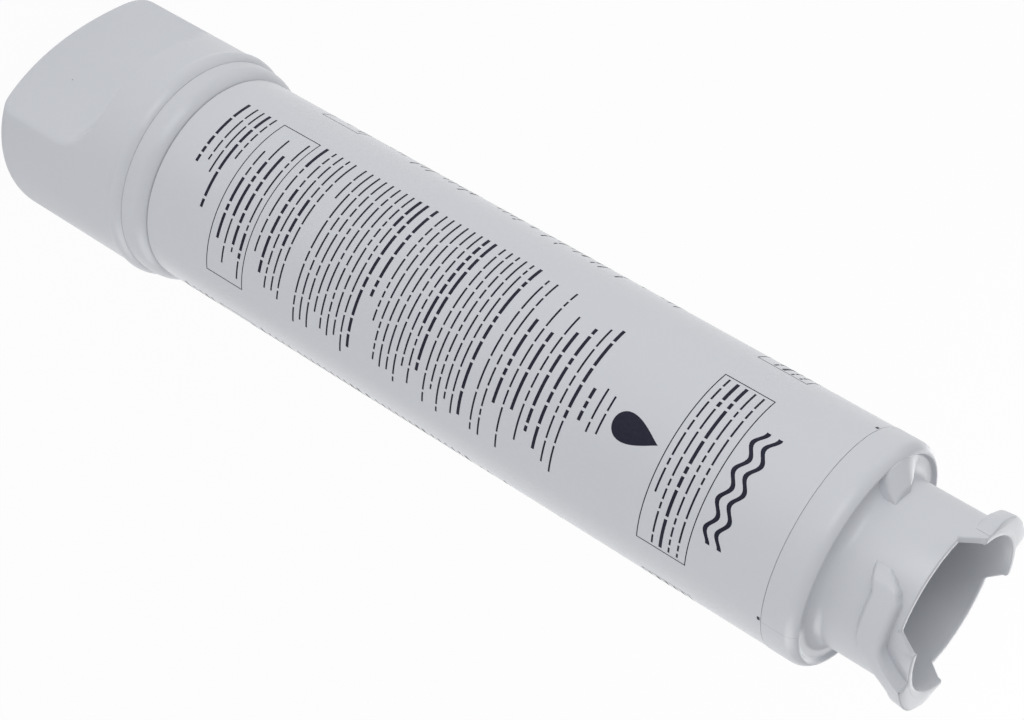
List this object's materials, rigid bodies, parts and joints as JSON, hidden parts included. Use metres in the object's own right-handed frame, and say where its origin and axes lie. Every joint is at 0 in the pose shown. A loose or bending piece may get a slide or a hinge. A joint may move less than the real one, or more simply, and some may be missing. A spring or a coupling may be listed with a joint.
{
  "type": "water filter cartridge",
  "caption": "White push-and-turn water filter cartridge for a refrigerator, with a scooped grip end, a printed wrap and a bayonet neck with cam ribs.",
  "frame": {"origin": "centre of the flat land on the grip end, which the cartridge stands on", "axes": "+Z along the cartridge's axis towards the mouth; the grip's two finger flats face -Y and +Y"},
  "size_m": [0.0529, 0.0528, 0.2375],
  "materials": {
    "housing_plastic": "moulded white plastic, soft gloss",
    "grip_plastic": "moulded white plastic, finely grained on the finger flats",
    "label_film": "white film with dark blue print, glossy",
    "carbon": "pressed carbon, dull black",
    "fleece": "white fleece",
    "end_cap_plastic": "moulded natural plastic",
    "seal_rubber": "black rubber"
  },
  "bodies": {
    "root": {"filter_housing": "housing_plastic", "grip_cap": "grip_plastic", "label_wrap": "label_film", "carbon_block": "carbon", "prefilter_sleeve": "fleece", "closed_end_cap": "end_cap_plastic", "outlet_end_cap": "end_cap_plastic", "inner_o_ring": "seal_rubber", "outer_o_ring": "seal_rubber"}
  },
  "joints": []
}
